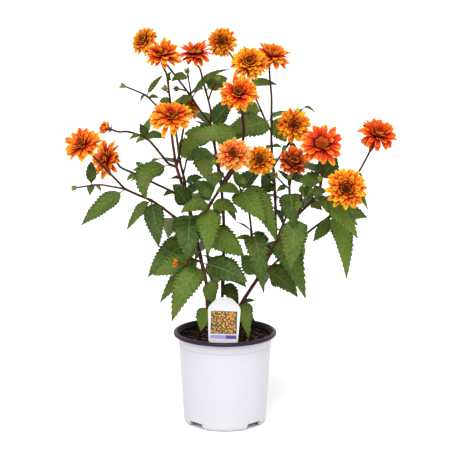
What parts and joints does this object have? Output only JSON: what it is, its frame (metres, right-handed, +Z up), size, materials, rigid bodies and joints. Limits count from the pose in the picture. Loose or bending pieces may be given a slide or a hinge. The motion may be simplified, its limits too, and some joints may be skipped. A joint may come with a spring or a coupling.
{
  "type": "potted forged in fire false sunflower",
  "caption": "Upright branching garden perennial with daisy-like red and orange flowers, in a round nursery pot with a plant tag.",
  "frame": {"origin": "on the floor under the middle of the whole plant's box; the pot's own middle is about 12 mm to the left of it and 3 mm in front of it", "axes": "+Z up, +X to the right as seen in the picture, +Y away from the viewer"},
  "size_m": [0.5268, 0.2692, 0.6302],
  "materials": {
    "pot_plastic": "satin white plastic outside, dark grey-brown lip and inside",
    "potting_mix": "loose dark bark and peat",
    "tag_plastic": "thin printed plastic card",
    "foliage": "matte green leaves on dark maroon stems",
    "petals": "soft matte petals, red at the middle and orange to yellow at the tips",
    "flower_disc": "dark maroon-brown florets"
  },
  "bodies": {
    "root": {"pot": "pot_plastic", "soil": "potting_mix", "tag": "tag_plastic", "stem_left": "foliage", "stem_centre": "foliage", "stem_front": "foliage", "stem_low": "foliage", "stem_right": "foliage", "bloom_01_petals": "petals", "bloom_01_disc": "flower_disc", "bloom_02_petals": "petals", "bloom_02_disc": "flower_disc", "bloom_03_petals": "petals", "bloom_03_disc": "flower_disc", "bloom_04_petals": "petals", "bloom_04_disc": "flower_disc", "bloom_05_petals": "petals", "bloom_05_disc": "flower_disc", "bloom_06_petals": "petals", "bloom_06_disc": "flower_disc", "bloom_07_petals": "petals", "bloom_07_disc": "flower_disc", "bloom_08_petals": "petals", "bloom_08_disc": "flower_disc", "bloom_09_petals": "petals", "bloom_09_disc": "flower_disc", "bloom_10_petals": "petals", "bloom_10_disc": "flower_disc", "bloom_11_petals": "petals", "bloom_11_disc": "flower_disc", "bloom_12_petals": "petals", "bloom_12_disc": "flower_disc", "bloom_13_petals": "petals", "bloom_13_disc": "flower_disc", "bloom_14_petals": "petals", "bloom_14_disc": "flower_disc", "bloom_15_petals": "petals", "bloom_15_disc": "flower_disc", "bloom_16_petals": "petals", "bloom_16_disc": "flower_disc", "bloom_17_petals": "petals", "bloom_17_disc": "flower_disc", "bloom_18_petals": "petals", "bloom_18_disc": "flower_disc", "bloom_19_petals": "petals", "bloom_20_petals": "petals"}
  },
  "joints": []
}
